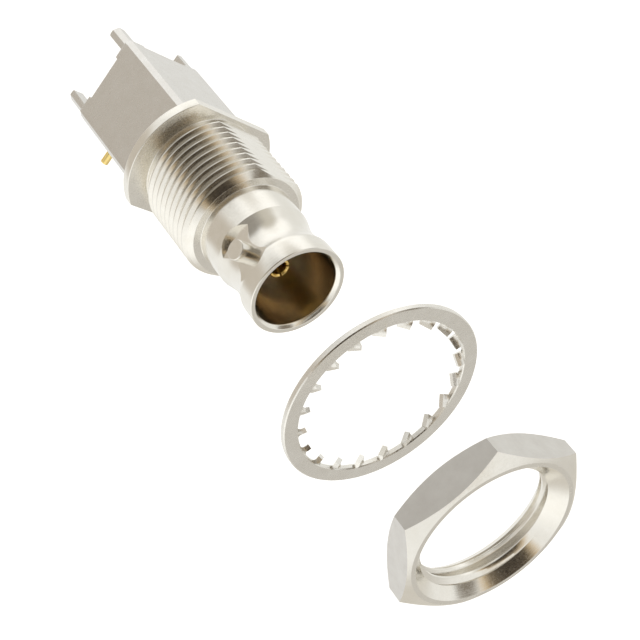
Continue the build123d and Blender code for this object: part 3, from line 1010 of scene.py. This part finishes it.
def dress(piece, finishes, chooser=None):
    """Puts materials on a piece; the chooser gives a face's finish from its centre (mm) and normal."""
    piece.data.materials.clear()
    for finish in finishes:
        piece.data.materials.append(finish)
    for face in piece.data.polygons:
        face.material_index = chooser(face.center / MM, face.normal) if chooser else 0
    print(piece.name, "wears", [finish.name for finish in finishes])


def shell_finish(centre, normal):
    """0 outside, 1 on the thread, 2 inside the mating mouth, in painted shade, 3 on the faces cut square to
    the axis.
    """
    radius = math.hypot(centre.x, centre.z)
    inward = (normal.x * centre.x + normal.z * centre.z) < 0
    if radius < BORE_RADIUS + 0.05 and inward or radius < BORE_RADIUS and centre.y < INSULATOR_Y + NEAR:
        return 2
    if abs(normal.y) > 0.9 and centre.y > THREAD_FRONT_Y - NEAR:
        return 3
    on_thread = THREAD_FRONT_Y + NEAR < centre.y < -0.05 and radius > THREAD_RADIUS - THREAD_DEPTH - 0.2
    return 1 if on_thread else 0


def nut_finish(centre, normal):
    """0 chamfers, countersinks and thread, 1 ground sides, 2 the flat front and rear."""
    radius = math.hypot(centre.x, centre.z)
    if abs(normal.y) > 0.95:
        return 2
    return 1 if abs(normal.y) < 0.05 and radius > NUT_FACE_RADIUS - 0.3 else 0


dress(shell, [polished, threaded, bore_painted_shade_nickel, faced], shell_finish)
dress(nut, [nut_polish, ground, faced], nut_finish)
for piece, finish in ((housing, cast), (cap, cast), (washer, stamped), (contact, gold), (tail, gold),
                      (bush, insulation), (front_insulator, insulation), (rear_insulator, insulation)):
    dress(piece, [finish])

# %% [markdown]
# Each piece now takes the place of its solid and rides on the same body.

# %% Pieces on their bodies
PLAN = (
    (shell, "front_shell", "jack", "polished_nickel"),
    (housing, "square_housing", "jack", "satin_nickel"),
    (contact, "centre_contact", "jack", "gold_contact"),
    (tail, "solder_tail", "jack", "gold_contact"),
    (bush, "tail_bush", "jack", "insulator"),
    (cap, "rear_cap", "jack", "satin_nickel"),
    (front_insulator, "front_insulator", "jack", "insulator"),
    (rear_insulator, "rear_insulator", "jack", "insulator"),
    (washer, "lock_washer", "washer", "washer_steel"),
    (nut, "hex_nut", "nut", "polished_nickel"),
)
for piece, replaced, body, slot_name in PLAN:
    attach(piece, body)
    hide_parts(replaced)
print(len(PLAN), "pieces ride on", sorted({body for _, _, body, _ in PLAN}))

# %% [markdown]
# The camera stands in front of the mouth, above and to the left, with a long lens, and is rolled about its
# own view. Its place and angles were found from the photograph's edges and the sizes of the frame. The
# standard view transform keeps the picture's whites white.

# %% Camera
CAMERA_PLACE = Vector((-103.767, -112.605, 42.282)) * MM
CAMERA_AZIMUTH = -49.55
CAMERA_ELEVATION = 17.26
CAMERA_ROLL = 37.13
lens = bpy.data.cameras.new("camera")
lens.sensor_width = 36
lens.lens = 90.0
lens.clip_start = 0.005
lens.clip_end = 20
camera = bpy.data.objects.new("camera", lens)
camera.matrix_world = (Matrix.Translation(CAMERA_PLACE)
                       @ Matrix.Rotation(math.radians(CAMERA_AZIMUTH), 4, "Z")
                       @ Matrix.Rotation(math.radians(90 - CAMERA_ELEVATION), 4, "X")
                       @ Matrix.Rotation(math.radians(CAMERA_ROLL), 4, "Z"))
bpy.context.scene.collection.objects.link(camera)
bpy.context.scene.camera = camera
bpy.context.scene.view_settings.view_transform = "Standard"
print("the camera stands", round(CAMERA_PLACE.length / MM), "mm from the flange")

# %% [markdown]
# A bright metal needs a studio with dark and light parts, or it looks like grey plastic. Here the world is
# the studio: a white surround with soft fields in fixed directions, like dark cards and bright lamps round
# the object. A field's aim is two angles: off the line to the photographer, and round that line from the
# picture's right. Its shade grows from its rim to its core.

# %% Fields of the studio
RIGHT = Vector((0.654, -0.491, 0.576))
UP = Vector((-0.212, 0.613, 0.761))
BACK = Vector((-0.727, -0.620, 0.297))
WHITE = (1.0, 1.0, 0.98)


def towards(off_view, round_view):
    """A direction by its angle off the line to the photographer and its angle round it from the right."""
    off, turned = math.radians(off_view), math.radians(round_view)
    return (RIGHT * (math.sin(off) * math.cos(turned)) + UP * (math.sin(off) * math.sin(turned))
            + BACK * math.cos(off)).normalized()


# Each field is an aim, the angles of its rim and its core, and a colour. Later fields lie over earlier ones.
FIELDS = (
    (towards(115, 45), 58, 25, (0.90, 0.90, 0.87)),
    (towards(97, 95), 38, 14, (1.24, 1.24, 1.22)),
    (towards(85, -125), 44, 12, (1.24, 1.24, 1.21)),
    (towards(135, -60), 52, 25, (0.72, 0.69, 0.63)),
    (towards(103, -45), 40, 20, (0.66, 0.64, 0.60)),
    (towards(70, 85), 26, 8, (0.66, 0.63, 0.56)),
    (towards(98, 166), 36, 14, (0.64, 0.59, 0.52)),
    (towards(24, 135), 54, 35, (0.33, 0.31, 0.275)),
    (towards(66, 10), 20, 9, (0.22, 0.19, 0.15)),
    (towards(32, -16), 26, 14, (0.68, 0.53, 0.33)),
    (towards(15, -45), 34, 24, (0.68, 0.53, 0.33)),
    (towards(30, -18), 20, 10, (0.15, 0.12, 0.085)),
    (towards(15, -45), 27, 17, (0.05, 0.04, 0.03)),
)
print(len(FIELDS), "fields,", sum(max(shade) < 1 for _, _, _, shade in FIELDS), "of them darker than white")

# %% [markdown]
# The world's tree paints the fields one over another. The cosine between a ray and a field's aim tells how
# far the ray is from the aim, and a smooth step of it covers the field. To the camera itself, and through
# anything clear, the world is plain white.

# %% Studio
world = bpy.data.worlds.new("studio")
world.use_nodes = True
bpy.context.scene.world = world
tree = world.node_tree
tree.nodes.clear()
direction = tree.nodes.new("ShaderNodeTexCoord").outputs["Generated"]
colour = WHITE
for aim, rim, core, shade in FIELDS:
    cosine = node(tree, "ShaderNodeVectorMath", {0: direction, 1: aim}, operation="DOT_PRODUCT")
    cover = node(tree, "ShaderNodeMapRange", {
        "Value": cosine.outputs["Value"], "From Min": math.cos(math.radians(rim)),
        "From Max": math.cos(math.radians(core))}, interpolation_type="SMOOTHSTEP")
    colour = mixed_colour(tree, cover.outputs[0], colour, shade)
studio = node(tree, "ShaderNodeBackground", {"Color": colour})
backdrop = node(tree, "ShaderNodeBackground", {"Color": (1, 1, 1, 1)})
rays = tree.nodes.new("ShaderNodeLightPath").outputs
plain = maths(tree, "MAXIMUM", rays["Is Camera Ray"], rays["Is Transmission Ray"])
chosen = node(tree, "ShaderNodeMixShader", {0: plain, 1: studio.outputs[0], 2: backdrop.outputs[0]})
tree.links.new(chosen.outputs[0], tree.nodes.new("ShaderNodeOutputWorld").inputs["Surface"])
print("the world's tree has", len(tree.nodes), "nodes")

# %% [markdown]
# The photograph shows no horizon: the object seems to float in white. A wide white floor well below it keeps
# a faint soft shadow and gives light from below. A small glow of its own brings it up to the backdrop's white
# for the camera. To a mirror it is see-through, so that metal reflects the studio's lower half as well.

# %% Floor
FLOOR_Z = -45.0
FLOOR_HALF = 6000.0
FLOOR_GLOW = 0.5
floor = mesh_object("floor", [(-FLOOR_HALF, -FLOOR_HALF, FLOOR_Z), (FLOOR_HALF, -FLOOR_HALF, FLOOR_Z),
                              (FLOOR_HALF, FLOOR_HALF, FLOOR_Z), (-FLOOR_HALF, FLOOR_HALF, FLOOR_Z)],
                    [(0, 1, 2, 3)])
white_floor, tree, shader = material("white_floor")
shader.inputs["Base Color"].default_value = (0.9, 0.9, 0.9, 1)
shader.inputs["Roughness"].default_value = 0.8
rays = tree.nodes.new("ShaderNodeLightPath").outputs
strength = maths(tree, "MULTIPLY", rays["Is Camera Ray"], FLOOR_GLOW)
glow = node(tree, "ShaderNodeEmission", {"Strength": strength})
lit = node(tree, "ShaderNodeAddShader", {0: shader.outputs[0], 1: glow.outputs[0]})
open_below = tree.nodes.new("ShaderNodeBsdfTransparent")
mirrored = maths(tree, "MAXIMUM", rays["Is Glossy Ray"], rays["Is Transmission Ray"])
blended = node(tree, "ShaderNodeMixShader", {0: mirrored, 1: lit.outputs[0], 2: open_below.outputs[0]})
tree.links.new(blended.outputs[0], tree.nodes["Material Output"].inputs["Surface"])
floor.data.materials.append(white_floor)
floor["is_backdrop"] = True
print("the floor lies", round(CAD_BOX[0][Z] / MM - FLOOR_Z, 1), "mm below the object")

# %% [markdown]
# Last, the sizes: the box of the solids and the box of the dressed model, side by side.

# %% Sizes and finish
for title, corners in (("solids", CAD_BOX), ("dressed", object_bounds())):
    print(title, [[round(value / MM, 2) for value in corner] for corner in corners])
